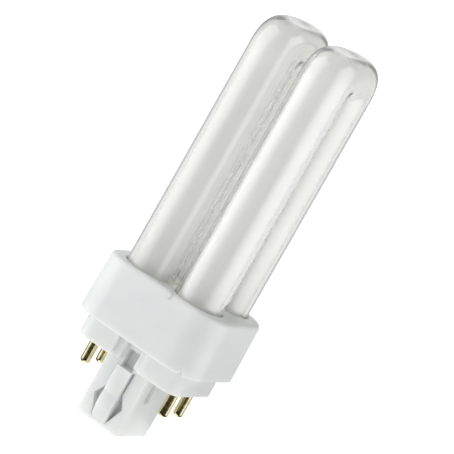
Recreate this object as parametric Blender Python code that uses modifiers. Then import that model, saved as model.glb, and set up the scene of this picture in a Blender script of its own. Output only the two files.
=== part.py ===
"""Plug-in energy-saving lamp: two U-shaped glass tubes in a white moulded base with four pins.

The lamp stands upright on the flat end of its key post. Origin: middle of the post's end.
+Z runs along the lamp to the tube tops, X runs across the two U tubes, Y runs from each
tube's front leg to its rear leg. Lengths are in metres, written in millimetres times MM.
"""
import math

import bmesh
import bpy
from mathutils import Matrix, Vector

MM = 0.001

# Heights along the lamp
POST_LENGTH = 16.0 * MM          # key post below the seating face
PLATFORM_HEIGHT = 5.5 * MM       # seating face up to the collar
COLLAR_HEIGHT = 14.8 * MM
TUBE_HEIGHT = 65.1 * MM          # glass above the collar

# Glass tubes
TUBE_DIAMETER = 12.0 * MM
TUBE_GAP = 2.0 * MM              # between neighbouring legs, both ways
CROWN_HEIGHT = 11.0 * MM         # tube top above the crotch between its legs
CROWN_SQUARENESS = 3.0           # 2 is a round bend, more is squarer
CROWN_SECTION_SQUARENESS = 2.7
TUBE_INSET = 7.0 * MM            # leg ends below the collar's top
LEG_END_DEPTH = 4.0 * MM         # domed closed end of each leg
BRIDGE_DIAMETER = 4.6 * MM
BRIDGE_RISE = 1.6 * MM           # bridge top above the collar
SEAL_WIDTH = 7.0 * MM
SEAL_THICKNESS = 2.6 * MM
SEAL_CLEARANCE = 0.3 * MM        # above the contact pins
STUB_DIAMETER = 3.6 * MM
STUB_CLEARANCE = 2.2 * MM        # above the spigot plate

# Collar moulding
COLLAR_SIDE = 3.8 * MM           # glass to the collar's side, in X
COLLAR_FRONT = 1.4 * MM          # glass to the collar's front and rear, in Y
COLLAR_CORNER = 7.2 * MM
COLLAR_SHOULDER = 1.2 * MM       # rounded top edge
COLLAR_FLARE = 0.28 * MM         # how much wider each side is at the bottom
COLLAR_WALL = 1.4 * MM
COLLAR_TOP = 2.6 * MM
NOTCH_WIDTH = 1.3 * MM           # vent notch in the lower rim at each corner
NOTCH_HEIGHT = 1.2 * MM
NOTCH_TURN = math.radians(36)    # how far round the corner from the front or rear face
NIB_X = 3.0 * MM                 # moulding nib on the front shoulder, right of the middle
NIB_WIDTH = 1.5 * MM
NIB_DEPTH = 1.8 * MM
NIB_HEIGHT = 1.4 * MM
NIB_DROP = 0.3 * MM              # its top below the collar's top
CEMENT_DEPTH = 3.0 * MM

# Pin base moulding
PLATFORM_STEP_X = 2.5 * MM       # collar's side to the platform's
PLATFORM_STEP_Y = 2.85 * MM
PLATFORM_CORNER = 3.9 * MM
PLATFORM_WALL = 1.5 * MM
PLATFORM_FLOOR = 2.0 * MM
SPIGOT_PLATE = 1.6 * MM          # flat ring that closes the collar's bottom
SPIGOT_RISE = 3.0 * MM           # upstanding rim of the spigot
SPIGOT_WALL = 1.1 * MM
BOSS_DIAMETER = 5.0 * MM         # round each pin, up past the spigot plate
BOSS_RISE = 0.8 * MM

# Key post
POST_WIDTH = 12.1 * MM           # X
POST_DEPTH = 15.8 * MM           # Y
POST_END_WALL = 1.8 * MM
POST_SIDE_WALL = 2.8 * MM        # leaves the keying grooves a sound floor
POST_FACE_WALL = 1.2 * MM        # behind the latch recess
POST_EDGE = 0.5 * MM

# Latch on the front and rear faces of the post
RECESS_DEPTH = 2.6 * MM
RECESS_FOOT = 1.0 * MM           # height of the recess's lower point
RECESS_WIDEST_AT = 6.0 * MM
RECESS_SHOULDER_AT = 8.9 * MM
RECESS_BELOW_SEAT = 1.5 * MM     # top of the recess and the tongue
RECESS_FOOT_WIDTH = 3.8 * MM
RECESS_WIDEST = 8.1 * MM
RECESS_SLOT_WIDTH = 4.9 * MM
TONGUE_WIDTH = 4.0 * MM
TONGUE_PROUD = 1.1 * MM          # in front of the post face
TONGUE_RAMP_TOP = 4.5 * MM
TONGUE_DENT_LOW = 6.4 * MM
TONGUE_DENT_HIGH = 9.0 * MM
TONGUE_DENT_DEPTH = 0.45 * MM
WINDOW_WIDTH = 3.2 * MM
WINDOW_HEIGHT = 4.5 * MM
WINDOW_DEPTH = 2.6 * MM
WINDOW_PROUD = 0.3 * MM          # window plane in front of the post face
BAY_WIDTH = 8.0 * MM             # wide recess in the platform's front
BAY_DEPTH = 1.75 * MM
NICHE_WIDTH = 4.2 * MM           # narrow recess inside it, down to the window plane

# Keying groove on each narrow side of the post
GROOVE_NEAR = 0.9 * MM           # from the middle of the face
GROOVE_FAR = 3.7 * MM
GROOVE_DEPTH = 1.4 * MM
GROOVE_FOOT = 8.6 * MM

# Contact pins and lead wires
PIN_DIAMETER = 2.35 * MM
PIN_TO_SIDE = 2.8 * MM           # pin's middle to the platform's side; makes 23 mm between rows
PIN_PITCH_Y = 8.0 * MM
PIN_REACH = 6.8 * MM             # below the seating face
PIN_TIP_ROUND = 0.8 * MM
PIN_BORE = 1.3 * MM
PIN_BORE_FLOOR = 1.6 * MM
PIN_HEAD_DIAMETER = 3.6 * MM
PIN_HEAD_HEIGHT = 0.8 * MM
PIN_NECK = 1.0 * MM              # crimp neck above the head
WIRE_DIAMETER = 0.5 * MM
WIRE_SPREAD = 3.6 * MM           # between the two wires of one seal
WIRE_DROP = 1.2 * MM             # below its seal
WIRE_RISE = 0.9 * MM             # over its pin
WIRE_CLEARANCE = 1.0 * MM        # beside a pin boss
WIRE_BEND = 0.8 * MM             # straight length that each bend takes up
WIRE_SIDES = 10
WIRE_STEPS = 5                   # parts of a bend

FIT = 0.3 * MM                   # clearance between pieces that seat together
REACH = 2.0 * MM                 # how far cutters run past the material

# Facets
ROUND_STEPS = 32
SMALL_ROUND_STEPS = 24
BEND_STEPS = 18
DOME_STEPS = 5
CORNER_STEPS = 7
SHOULDER_STEPS = 6
TIP_STEPS = 4

HALF_TURN = math.pi
QUARTER_TURN = math.pi / 2

# Levels and centres that follow from the sizes
SEAT_Z = POST_LENGTH
COLLAR_Z = SEAT_Z + PLATFORM_HEIGHT
COLLAR_TOP_Z = COLLAR_Z + COLLAR_HEIGHT
TUBE_TOP_Z = COLLAR_TOP_Z + TUBE_HEIGHT
TUBE_RADIUS = TUBE_DIAMETER / 2
LEG_OFFSET = (TUBE_DIAMETER + TUBE_GAP) / 2
COLLAR_WIDTH = 2 * (LEG_OFFSET + TUBE_RADIUS + COLLAR_SIDE)
COLLAR_DEPTH = 2 * (LEG_OFFSET + TUBE_RADIUS + COLLAR_FRONT)
PLATFORM_WIDTH = COLLAR_WIDTH - 2 * PLATFORM_STEP_X
PLATFORM_DEPTH = COLLAR_DEPTH - 2 * PLATFORM_STEP_Y
PIN_PITCH_X = PLATFORM_WIDTH - 2 * PIN_TO_SIDE
LEG_END_Z = COLLAR_TOP_Z - TUBE_INSET
FLOOR_Z = SEAT_Z + PLATFORM_FLOOR
SPIGOT_TOP_Z = COLLAR_Z + SPIGOT_PLATE + SPIGOT_RISE
BRIDGE_Z = COLLAR_TOP_Z + BRIDGE_RISE - BRIDGE_DIAMETER / 2
STUB_END_Z = COLLAR_Z + SPIGOT_PLATE + STUB_CLEARANCE
RECESS_TOP = SEAT_Z - RECESS_BELOW_SEAT
WINDOW_BOTTOM = RECESS_TOP
PIN_TIP_Z = SEAT_Z - PIN_REACH
BOSS_TOP_Z = COLLAR_Z + SPIGOT_PLATE + BOSS_RISE
PIN_HEAD_Z = BOSS_TOP_Z + FIT
PIN_TOP_Z = PIN_HEAD_Z + PIN_HEAD_HEIGHT + PIN_NECK
SEAL_END_Z = PIN_TOP_Z + SEAL_CLEARANCE
FACE_Y = POST_DEPTH / 2
TONGUE_Y = FACE_Y + TONGUE_PROUD
WINDOW_Y = FACE_Y + WINDOW_PROUD
RECESS_Y = FACE_Y - RECESS_DEPTH


def clear_scene():
    """Remove whatever the file holds, so that only the lamp is in it."""
    for item in list(bpy.data.objects):
        bpy.data.objects.remove(item, do_unlink=True)


def new_collection(name):
    group = bpy.data.collections.new(name)
    bpy.context.scene.collection.children.link(group)
    return group


def material(name, colour, roughness, metallic=0.0):
    """A plain surface of one colour."""
    made = bpy.data.materials.new(name)
    made.use_nodes = True
    shader = made.node_tree.nodes["Principled BSDF"]
    shader.inputs["Base Color"].default_value = (*colour, 1.0)
    shader.inputs["Roughness"].default_value = roughness
    shader.inputs["Metallic"].default_value = metallic
    return made


def make_object(name, bm, group, finish=None):
    """Turn a bmesh into a named object with smooth faces and sharp edges."""
    bmesh.ops.recalc_face_normals(bm, faces=bm.faces)
    mesh = bpy.data.meshes.new(name)
    bm.to_mesh(mesh)
    bm.free()
    mesh.shade_smooth()
    mesh.set_sharp_from_angle(angle=math.radians(35))
    made = bpy.data.objects.new(name, mesh)
    group.objects.link(made)
    if finish is not None:
        mesh.materials.append(finish)
    return made


def cutter(name, bm):
    """An object that only shapes another: drawn as wire and left out of renders."""
    made = make_object(name, bm, CUTTERS)
    made.hide_render = True
    made.display_type = "WIRE"
    return made


def shape_with(target, tool, operation="DIFFERENCE"):
    """Cut or join one object with another by an exact Boolean."""
    step = target.modifiers.new(tool.name, "BOOLEAN")
    step.operation = operation
    step.solver = "EXACT"
    step.object = tool


def block(low, high):
    """A box between two corners."""
    bm = bmesh.new()
    bmesh.ops.create_cube(bm, size=1.0)
    centre = (Vector(low) + Vector(high)) / 2
    size = Vector(high) - Vector(low)
    bmesh.ops.scale(bm, vec=size, verts=bm.verts)
    bmesh.ops.translate(bm, vec=centre, verts=bm.verts)
    return bm


def standing_block(width, depth, low, high):
    """A box centred on the lamp's axis between two heights."""
    return block((-width / 2, -depth / 2, low), (width / 2, depth / 2, high))


def is_upright(edge):
    start, end = (vert.co for vert in edge.verts)
    return abs(start.z - end.z) > 0.5 * (start - end).length


def round_corners(bm, radius, steps=CORNER_STEPS):
    """Round the upright edges of a box."""
    edges = [edge for edge in bm.edges if is_upright(edge)]
    bmesh.ops.bevel(bm, geom=edges, offset=radius, segments=steps, profile=0.5, affect="EDGES")


def round_rim(bm, height, radius, steps):
    """Round the edges that lie at one height."""
    edges = [edge for edge in bm.edges if all(abs(vert.co.z - height) < FIT / 10 for vert in edge.verts)]
    bmesh.ops.bevel(bm, geom=edges, offset=radius, segments=steps, profile=0.5, affect="EDGES")


def rounded_block(width, depth, corner, low, high):
    """An upright block with rounded corners."""
    bm = standing_block(width, depth, low, high)
    round_corners(bm, corner)
    return bm


def cylinder(radius, low, high, centre=(0.0, 0.0), steps=ROUND_STEPS):
    """An upright round bar between two heights."""
    bm = bmesh.new()
    bmesh.ops.create_cone(bm, cap_ends=True, segments=steps, radius1=radius, radius2=radius, depth=high - low)
    bmesh.ops.translate(bm, vec=(centre[0], centre[1], (low + high) / 2), verts=bm.verts)
    return bm


def prism(corners, reach):
    """A flat outline carried sideways by reach."""
    bm = bmesh.new()
    face = bm.faces.new([bm.verts.new(corner) for corner in corners])
    moved = bmesh.ops.extrude_face_region(bm, geom=[face])["geom"]
    far_side = [item for item in moved if isinstance(item, bmesh.types.BMVert)]
    bmesh.ops.translate(bm, vec=reach, verts=far_side)
    return bm


def prism_along_y(outline, near, far):
    """A flat outline of X, Z points carried along Y."""
    return prism([(x, near, z) for x, z in outline], (0, far - near, 0))


def prism_along_x(outline, near, far):
    """A flat outline of Y, Z points carried along X."""
    return prism([(near, y, z) for y, z in outline], (far - near, 0, 0))


def turn_half(bm, side):
    """Front features keep their place; for the rear they turn half a turn round the axis."""
    if side == "rear":
        bmesh.ops.rotate(bm, cent=(0, 0, 0), matrix=Matrix.Rotation(HALF_TURN, 3, "Z"), verts=bm.verts)
    return bm


def crown_section(angle):
    """Middle and half length of the tube's section on one spoke of the fan round the crotch.

    The inner end stays half a gap from the crotch. The outer end follows a squared oval as
    wide as both legs and as high as the crown.
    """
    outer_width = TUBE_GAP / 2 + TUBE_DIAMETER
    power = CROWN_SQUARENESS
    reach = (abs(math.cos(angle)) / outer_width) ** power + (math.sin(angle) / CROWN_HEIGHT) ** power
    outer = reach ** (-1 / power)
    half = (outer - TUBE_GAP / 2) / 2
    return TUBE_GAP / 2 + half, half


def crown_ring(angle, centre_x, crotch_z):
    """One ring of the crown: a slightly squared oval standing on its spoke."""
    middle, half = crown_section(angle)
    power = 2 + (CROWN_SECTION_SQUARENESS - 2) * math.sin(angle) ** 2
    ring = []
    for step in range(ROUND_STEPS):
        turn = 2 * math.pi * step / ROUND_STEPS
        along, across = math.cos(turn), math.sin(turn)
        fullness = (abs(along) ** power + abs(across) ** power) ** (-1 / power)
        spoke = middle + half * fullness * along
        x = centre_x + TUBE_RADIUS * fullness * across
        ring.append((x, -spoke * math.cos(angle), crotch_z + spoke * math.sin(angle)))
    return ring


def leg_end_rings(centre_x, side):
    """Rings of a leg's closed end, from its tip up to the full tube, on the front or rear leg."""
    rings = []
    for step in range(DOME_STEPS):
        rise = (step + 0.5) / DOME_STEPS * math.pi / 2
        shrink = math.sin(rise)
        z = LEG_END_Z + LEG_END_DEPTH * (1 - math.cos(rise))
        ring = []
        for point in crown_ring(0 if side == "front" else math.pi, centre_x, 0):
            leg_y = -LEG_OFFSET if side == "front" else LEG_OFFSET
            ring.append((centre_x + (point[0] - centre_x) * shrink, leg_y + (point[1] - leg_y) * shrink, z))
        rings.append(ring)
    return rings


def u_tube(centre_x):
    """One U tube as a loft: front leg's end, up the leg, over the crown, down to the rear end."""
    crotch_z = TUBE_TOP_Z - CROWN_HEIGHT
    rings = leg_end_rings(centre_x, "front")
    shoulder_z = LEG_END_Z + LEG_END_DEPTH
    rings.append([(x, y, shoulder_z) for x, y, _ in crown_ring(0, centre_x, 0)])
    for step in range(BEND_STEPS + 1):
        rings.append(crown_ring(math.pi * step / BEND_STEPS, centre_x, crotch_z))
    rings.append([(x, y, shoulder_z) for x, y, _ in crown_ring(math.pi, centre_x, 0)])
    rings.extend(reversed(leg_end_rings(centre_x, "rear")))
    bm = bmesh.new()
    loops = [[bm.verts.new(point) for point in ring] for ring in rings]
    for lower, upper in zip(loops, loops[1:]):
        for step in range(ROUND_STEPS):
            after = (step + 1) % ROUND_STEPS
            bm.faces.new((lower[step], lower[after], upper[after], upper[step]))
    bm.faces.new(loops[0])
    bm.faces.new(loops[-1])
    return bm


def build_discharge_tube():
    """The sealed glass: two U tubes, the bridge between their front legs, seals and stub."""
    tube = make_object("discharge_tube", u_tube(-LEG_OFFSET), PARTS, GLASS)
    shape_with(tube, cutter("second_u_tube", u_tube(LEG_OFFSET)), "UNION")
    bridge = cylinder(BRIDGE_DIAMETER / 2, -LEG_OFFSET, LEG_OFFSET, steps=SMALL_ROUND_STEPS)
    across = Matrix.Rotation(QUARTER_TURN, 3, "Y")
    bmesh.ops.rotate(bridge, cent=(0, 0, 0), matrix=across, verts=bridge.verts)
    bmesh.ops.translate(bridge, vec=(0, -LEG_OFFSET, BRIDGE_Z), verts=bridge.verts)
    shape_with(tube, cutter("glass_bridge", bridge), "UNION")
    for side in (-1, 1):
        seal = block(
            (side * LEG_OFFSET - SEAL_WIDTH / 2, LEG_OFFSET - SEAL_THICKNESS / 2, SEAL_END_Z),
            (side * LEG_OFFSET + SEAL_WIDTH / 2, LEG_OFFSET + SEAL_THICKNESS / 2, LEG_END_Z + LEG_END_DEPTH),
        )
        round_corners(seal, SEAL_THICKNESS / 3, 3)
        shape_with(tube, cutter(f"wire_seal_{side}", seal), "UNION")
    stub = cylinder(
        STUB_DIAMETER / 2, STUB_END_Z, LEG_END_Z + LEG_END_DEPTH, (-LEG_OFFSET, -LEG_OFFSET), 16
    )
    shape_with(tube, cutter("exhaust_stub", stub), "UNION")


def inner_width(clearance=0.0):
    """Width inside the collar's wall, less a clearance on both sides."""
    return COLLAR_WIDTH - 2 * (COLLAR_WALL + clearance)


def inner_depth(clearance=0.0):
    return COLLAR_DEPTH - 2 * (COLLAR_WALL + clearance)


def leg_centres():
    for x in (-LEG_OFFSET, LEG_OFFSET):
        for y in (-LEG_OFFSET, LEG_OFFSET):
            yield x, y


def cut_tube_seats(target, low, high):
    """Four round seats for the legs and a slot for the glass bridge."""
    for number, centre in enumerate(leg_centres(), 1):
        seat = cylinder(TUBE_RADIUS + FIT, low, high, centre)
        shape_with(target, cutter(f"{target.name}_seat_{number}", seat))
    slot_half = BRIDGE_DIAMETER / 2 + FIT
    slot = block(
        (-LEG_OFFSET, -LEG_OFFSET - slot_half, BRIDGE_Z - slot_half),
        (LEG_OFFSET, -LEG_OFFSET + slot_half, high),
    )
    shape_with(target, cutter(f"{target.name}_bridge_slot", slot))


def build_collar():
    """The upper moulding: a flared shell with a rounded shoulder and four tube seats."""
    bm = rounded_block(COLLAR_WIDTH, COLLAR_DEPTH, COLLAR_CORNER, COLLAR_Z, COLLAR_TOP_Z)
    round_rim(bm, COLLAR_TOP_Z, COLLAR_SHOULDER, SHOULDER_STEPS)
    for vert in bm.verts:
        if vert.co.z < COLLAR_Z + FIT:
            vert.co.x += math.copysign(COLLAR_FLARE, vert.co.x)
            vert.co.y += math.copysign(COLLAR_FLARE, vert.co.y)
    collar = make_object("collar", bm, PARTS, WHITE_MOULDING)
    nib_top = COLLAR_TOP_Z - NIB_DROP
    nib = cylinder(NIB_WIDTH / 2, nib_top - NIB_HEIGHT, nib_top, steps=16)
    bmesh.ops.scale(nib, vec=(1, NIB_DEPTH / NIB_WIDTH, 1), verts=nib.verts)
    bmesh.ops.translate(nib, vec=(NIB_X, -(COLLAR_DEPTH - COLLAR_SHOULDER) / 2, 0), verts=nib.verts)
    shape_with(collar, cutter("shoulder_nib", nib), "UNION")
    hollow = rounded_block(
        inner_width(), inner_depth(), COLLAR_CORNER - COLLAR_WALL, COLLAR_Z - REACH, COLLAR_TOP_Z - COLLAR_TOP
    )
    shape_with(collar, cutter("collar_hollow", hollow))
    cut_tube_seats(collar, COLLAR_TOP_Z - COLLAR_TOP - FIT, COLLAR_TOP_Z + REACH)
    notch_x = COLLAR_WIDTH / 2 - COLLAR_CORNER * (1 - math.sin(NOTCH_TURN))
    notch_y = COLLAR_DEPTH / 2 - COLLAR_CORNER * (1 - math.cos(NOTCH_TURN))
    for number, (side_x, side_y) in enumerate(((-1, -1), (1, -1), (1, 1), (-1, 1)), 1):
        notch = cylinder(NOTCH_WIDTH / 2, -REACH, REACH, steps=4)
        bmesh.ops.scale(notch, vec=(1, NOTCH_HEIGHT / (NOTCH_WIDTH / 2), 1), verts=notch.verts)
        tip = Matrix.Rotation(QUARTER_TURN, 3, "X")
        bmesh.ops.rotate(notch, cent=(0, 0, 0), matrix=tip, verts=notch.verts)
        outward = Matrix.Rotation(-side_x * side_y * NOTCH_TURN, 3, "Z")
        bmesh.ops.rotate(notch, cent=(0, 0, 0), matrix=outward, verts=notch.verts)
        bmesh.ops.translate(notch, vec=(side_x * notch_x, side_y * notch_y, COLLAR_Z), verts=notch.verts)
        shape_with(collar, cutter(f"vent_notch_{number}", notch))


def build_tube_cement():
    """The cast mass under the collar's top that grips the four legs."""
    top = COLLAR_TOP_Z - COLLAR_TOP - FIT
    corner = COLLAR_CORNER - COLLAR_WALL - FIT
    bm = rounded_block(inner_width(FIT), inner_depth(FIT), corner, top - CEMENT_DEPTH, top)
    cement = make_object("tube_cement", bm, PARTS, CEMENT)
    cut_tube_seats(cement, top - CEMENT_DEPTH - REACH, top + REACH)


def add_latch(base, side):
    """Front or rear latch: platform bay and niche, spearhead recess, tongue and window."""
    platform_y = -PLATFORM_DEPTH / 2
    bay = block(
        (-BAY_WIDTH / 2, platform_y - REACH, SEAT_Z - REACH),
        (BAY_WIDTH / 2, platform_y + BAY_DEPTH, COLLAR_Z),
    )
    shape_with(base, cutter(f"{side}_bay", turn_half(bay, side)))
    niche = block(
        (-NICHE_WIDTH / 2, platform_y - REACH, SEAT_Z - REACH),
        (NICHE_WIDTH / 2, -WINDOW_Y, COLLAR_Z),
    )
    shape_with(base, cutter(f"{side}_niche", turn_half(niche, side)))
    half_outline = [
        (RECESS_FOOT_WIDTH / 2, RECESS_FOOT),
        (RECESS_WIDEST / 2, RECESS_WIDEST_AT),
        (RECESS_SLOT_WIDTH / 2, RECESS_SHOULDER_AT),
        (RECESS_SLOT_WIDTH / 2, RECESS_TOP),
    ]
    outline = half_outline + [(-x, z) for x, z in reversed(half_outline)]
    recess = prism_along_y(outline, -FACE_Y - REACH, -RECESS_Y)
    shape_with(base, cutter(f"{side}_recess", turn_half(recess, side)))
    root_y = -RECESS_Y + POST_FACE_WALL / 2
    profile = [
        (root_y, RECESS_FOOT - POST_FACE_WALL / 2),
        (-FACE_Y + FIT, RECESS_FOOT - POST_FACE_WALL / 2),
        (-TONGUE_Y, TONGUE_RAMP_TOP),
        (-TONGUE_Y, TONGUE_DENT_LOW),
        (-TONGUE_Y + TONGUE_DENT_DEPTH, (TONGUE_DENT_LOW + TONGUE_DENT_HIGH) / 2),
        (-TONGUE_Y, TONGUE_DENT_HIGH),
        (-TONGUE_Y, WINDOW_BOTTOM),
        (root_y, WINDOW_BOTTOM),
    ]
    tongue = prism_along_x(profile, -TONGUE_WIDTH / 2, TONGUE_WIDTH / 2)
    shape_with(base, cutter(f"{side}_tongue", turn_half(tongue, side)), "UNION")
    window = block(
        (-WINDOW_WIDTH / 2, -WINDOW_Y - REACH, WINDOW_BOTTOM),
        (WINDOW_WIDTH / 2, -WINDOW_Y + WINDOW_DEPTH, WINDOW_BOTTOM + WINDOW_HEIGHT),
    )
    shape_with(base, cutter(f"{side}_window", turn_half(window, side)))


def add_key_groove(base, side):
    """Keying groove on one narrow side, tapered at its lower end."""
    outline = [
        (-GROOVE_NEAR, SEAT_Z - FIT),
        (-GROOVE_FAR, SEAT_Z - FIT),
        (-GROOVE_FAR, GROOVE_FOOT + GROOVE_DEPTH / 2),
        (-(GROOVE_NEAR + GROOVE_FAR) / 2, GROOVE_FOOT),
        (-GROOVE_NEAR, GROOVE_FOOT + GROOVE_DEPTH / 2),
    ]
    groove = prism_along_x(outline, POST_WIDTH / 2 - GROOVE_DEPTH, POST_WIDTH / 2 + REACH)
    shape_with(base, cutter(f"{side}_key_groove", turn_half(groove, side)))


def pin_centres():
    for x, y in ((-1, -1), (1, -1), (1, 1), (-1, 1)):
        yield x * PIN_PITCH_X / 2, y * PIN_PITCH_Y / 2


def build_pin_base():
    """The lower moulding: spigot in the collar, stepped platform, bosses and hollow key post."""
    base = make_object(
        "pin_base",
        rounded_block(PLATFORM_WIDTH, PLATFORM_DEPTH, PLATFORM_CORNER, SEAT_Z, COLLAR_Z + SPIGOT_PLATE / 2),
        PARTS,
        WHITE_MOULDING,
    )
    spigot_corner = COLLAR_CORNER - COLLAR_WALL - FIT
    spigot = rounded_block(inner_width(FIT), inner_depth(FIT), spigot_corner, COLLAR_Z, SPIGOT_TOP_Z)
    shape_with(base, cutter("spigot", spigot), "UNION")
    post = standing_block(POST_WIDTH, POST_DEPTH, 0.0, SEAT_Z + PLATFORM_FLOOR / 2)
    bmesh.ops.bevel(post, geom=post.edges[:], offset=POST_EDGE, segments=2, profile=0.5, affect="EDGES")
    shape_with(base, cutter("key_post", post), "UNION")
    spigot_hollow = rounded_block(
        inner_width(FIT) - 2 * SPIGOT_WALL,
        inner_depth(FIT) - 2 * SPIGOT_WALL,
        spigot_corner - SPIGOT_WALL,
        COLLAR_Z + SPIGOT_PLATE,
        SPIGOT_TOP_Z + REACH,
    )
    shape_with(base, cutter("spigot_hollow", spigot_hollow))
    window_floor_y = WINDOW_Y - WINDOW_DEPTH
    platform_hollow = rounded_block(
        PLATFORM_WIDTH - 2 * PLATFORM_WALL,
        2 * (window_floor_y - POST_FACE_WALL),
        PLATFORM_CORNER - PLATFORM_WALL,
        FLOOR_Z,
        COLLAR_Z + SPIGOT_PLATE + REACH,
    )
    shape_with(base, cutter("platform_hollow", platform_hollow))
    post_hollow = block(
        (-(POST_WIDTH / 2 - POST_SIDE_WALL), -(RECESS_Y - POST_FACE_WALL), POST_END_WALL),
        (POST_WIDTH / 2 - POST_SIDE_WALL, RECESS_Y - POST_FACE_WALL, FLOOR_Z + REACH),
    )
    shape_with(base, cutter("post_hollow", post_hollow))
    for number, centre in enumerate(pin_centres(), 1):
        boss = cylinder(BOSS_DIAMETER / 2, SEAT_Z + FIT, BOSS_TOP_Z, centre, SMALL_ROUND_STEPS)
        shape_with(base, cutter(f"pin_boss_{number}", boss), "UNION")
        hole_radius = PIN_DIAMETER / 2 + FIT / 2
        hole = cylinder(hole_radius, SEAT_Z - REACH, BOSS_TOP_Z + REACH, centre, SMALL_ROUND_STEPS)
        shape_with(base, cutter(f"pin_hole_{number}", hole))
    for side in ("front", "rear"):
        add_latch(base, side)
        add_key_groove(base, side)


def pin_profile():
    """Half section of a pin, down its outside from the crimp neck and back up the bore."""
    radius = PIN_DIAMETER / 2
    bore = PIN_BORE / 2
    head_top = PIN_HEAD_Z + PIN_HEAD_HEIGHT
    points = [
        (radius, PIN_TOP_Z),
        (radius, head_top),
        (PIN_HEAD_DIAMETER / 2, head_top),
        (PIN_HEAD_DIAMETER / 2, PIN_HEAD_Z),
        (radius, PIN_HEAD_Z),
    ]
    for step in range(TIP_STEPS + 1):
        turn = QUARTER_TURN * step / TIP_STEPS
        x = radius - PIN_TIP_ROUND * (1 - math.cos(turn))
        points.append((x, PIN_TIP_Z + PIN_TIP_ROUND * (1 - math.sin(turn))))
    points.append((0.0, PIN_TIP_Z))
    floor = PIN_TIP_Z + PIN_BORE_FLOOR
    return points, [(0.0, floor), (bore, floor), (bore, PIN_TOP_Z)]


def build_contact_pins():
    """Four turned hollow pins: a profile turned by a Screw modifier."""
    outside, inside = pin_profile()
    for number, (x, y) in enumerate(pin_centres(), 1):
        mesh = bpy.data.meshes.new(f"contact_pin_{number}")
        points = outside + inside
        ends = len(outside)
        edges = [(k, k + 1) for k in range(len(points) - 1) if k + 1 != ends]
        edges.append((len(points) - 1, 0))
        mesh.from_pydata([(px, 0.0, pz) for px, pz in points], edges, [])
        mesh.materials.append(BRASS)
        pin = bpy.data.objects.new(f"contact_pin_{number}", mesh)
        PARTS.objects.link(pin)
        pin.location = (x, y, 0.0)
        turn = pin.modifiers.new("turned", "SCREW")
        turn.steps = SMALL_ROUND_STEPS
        turn.render_steps = SMALL_ROUND_STEPS
        turn.use_merge_vertices = True
        turn.merge_threshold = 0.01 * MM
        turn.use_smooth_shade = True


def rounded_route(corners):
    """The route through some corners, with a parabola in place of each one between the ends."""
    route = [corners[0]]
    for before, corner, after in zip(corners, corners[1:], corners[2:]):
        back, onward = before - corner, after - corner
        cut = min(WIRE_BEND, back.length / 2 - FIT / 2, onward.length / 2 - FIT / 2)
        start, end = corner + back.normalized() * cut, corner + onward.normalized() * cut
        for step in range(WIRE_STEPS + 1):
            share = step / WIRE_STEPS
            near, far = start.lerp(corner, share), corner.lerp(end, share)
            route.append(near.lerp(far, share))
    route.append(corners[-1])
    return route


def wire_route(x, y):
    """Out of the seal, level past the pin's boss, up and over the pin, and down into its bore."""
    side = math.copysign(1, x)
    rear = math.copysign(1, y)
    wire_x = side * (LEG_OFFSET + rear * WIRE_SPREAD / 2)
    beside_x = x - side * (BOSS_DIAMETER / 2 + WIRE_CLEARANCE)
    start_z = SEAL_END_Z - FIT
    low_z, high_z = start_z - WIRE_DROP, PIN_TOP_Z + WIRE_RISE
    corners = [
        Vector((wire_x, LEG_OFFSET, start_z)),
        Vector((wire_x, LEG_OFFSET, low_z)),
        Vector((beside_x, y, low_z)),
        Vector((beside_x, y, high_z)),
        Vector((x, y, high_z)),
        Vector((x, y, PIN_TIP_Z + PIN_BORE_FLOOR + FIT)),
    ]
    return rounded_route(corners)


def round_wire(route, radius):
    """A closed round bar along a route: one ring square to the route at each of its points."""
    bm = bmesh.new()
    loops = []
    normal = (route[1] - route[0]).orthogonal()
    for number, place in enumerate(route):
        onward = route[min(number + 1, len(route) - 1)] - route[max(number - 1, 0)]
        onward.normalize()
        normal = (normal - onward * normal.dot(onward)).normalized()
        side = onward.cross(normal)
        ring = []
        for step in range(WIRE_SIDES):
            turn = 2 * HALF_TURN * step / WIRE_SIDES
            ring.append(bm.verts.new(place + (normal * math.cos(turn) + side * math.sin(turn)) * radius))
        loops.append(ring)
    for lower, upper in zip(loops, loops[1:]):
        for step in range(WIRE_SIDES):
            after = (step + 1) % WIRE_SIDES
            bm.faces.new((lower[step], lower[after], upper[after], upper[step]))
    bm.faces.new(loops[0])
    bm.faces.new(loops[-1])
    bmesh.ops.triangulate(bm, faces=bm.faces)
    return bm


def build_lead_wires():
    """Two wires from each pinched seal, each down into the bore of one pin."""
    for number, (x, y) in enumerate(pin_centres(), 1):
        wire = round_wire(wire_route(x, y), WIRE_DIAMETER / 2)
        make_object(f"lead_wire_{number}", wire, PARTS, WIRE)


clear_scene()
PARTS = new_collection("energy_saving_lamp")
CUTTERS = new_collection("shaping_tools")
GLASS = material("phosphor_coated_glass", (0.86, 0.87, 0.83), 0.08)
WHITE_MOULDING = material("white_moulding", (0.84, 0.85, 0.84), 0.35)
CEMENT = material("cement", (0.62, 0.60, 0.55), 0.9)
BRASS = material("brass", (0.80, 0.66, 0.36), 0.22, 1.0)
WIRE = material("nickel_wire", (0.62, 0.60, 0.56), 0.35, 1.0)
build_discharge_tube()
build_collar()
build_tube_cement()
build_pin_base()
build_contact_pins()
build_lead_wires()
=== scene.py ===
"""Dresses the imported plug-in energy-saving lamp and sets up the photograph's view of it.

The lamp stands upright on its key post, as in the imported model, and the camera is rolled
to match the leaning lamp in the photograph. The lamp's lengths are written as millimetres
times MM, and the studio's are plain metres.
"""

import math

import bmesh
import bpy
import numpy as np
from mathutils import Matrix, Vector


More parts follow.
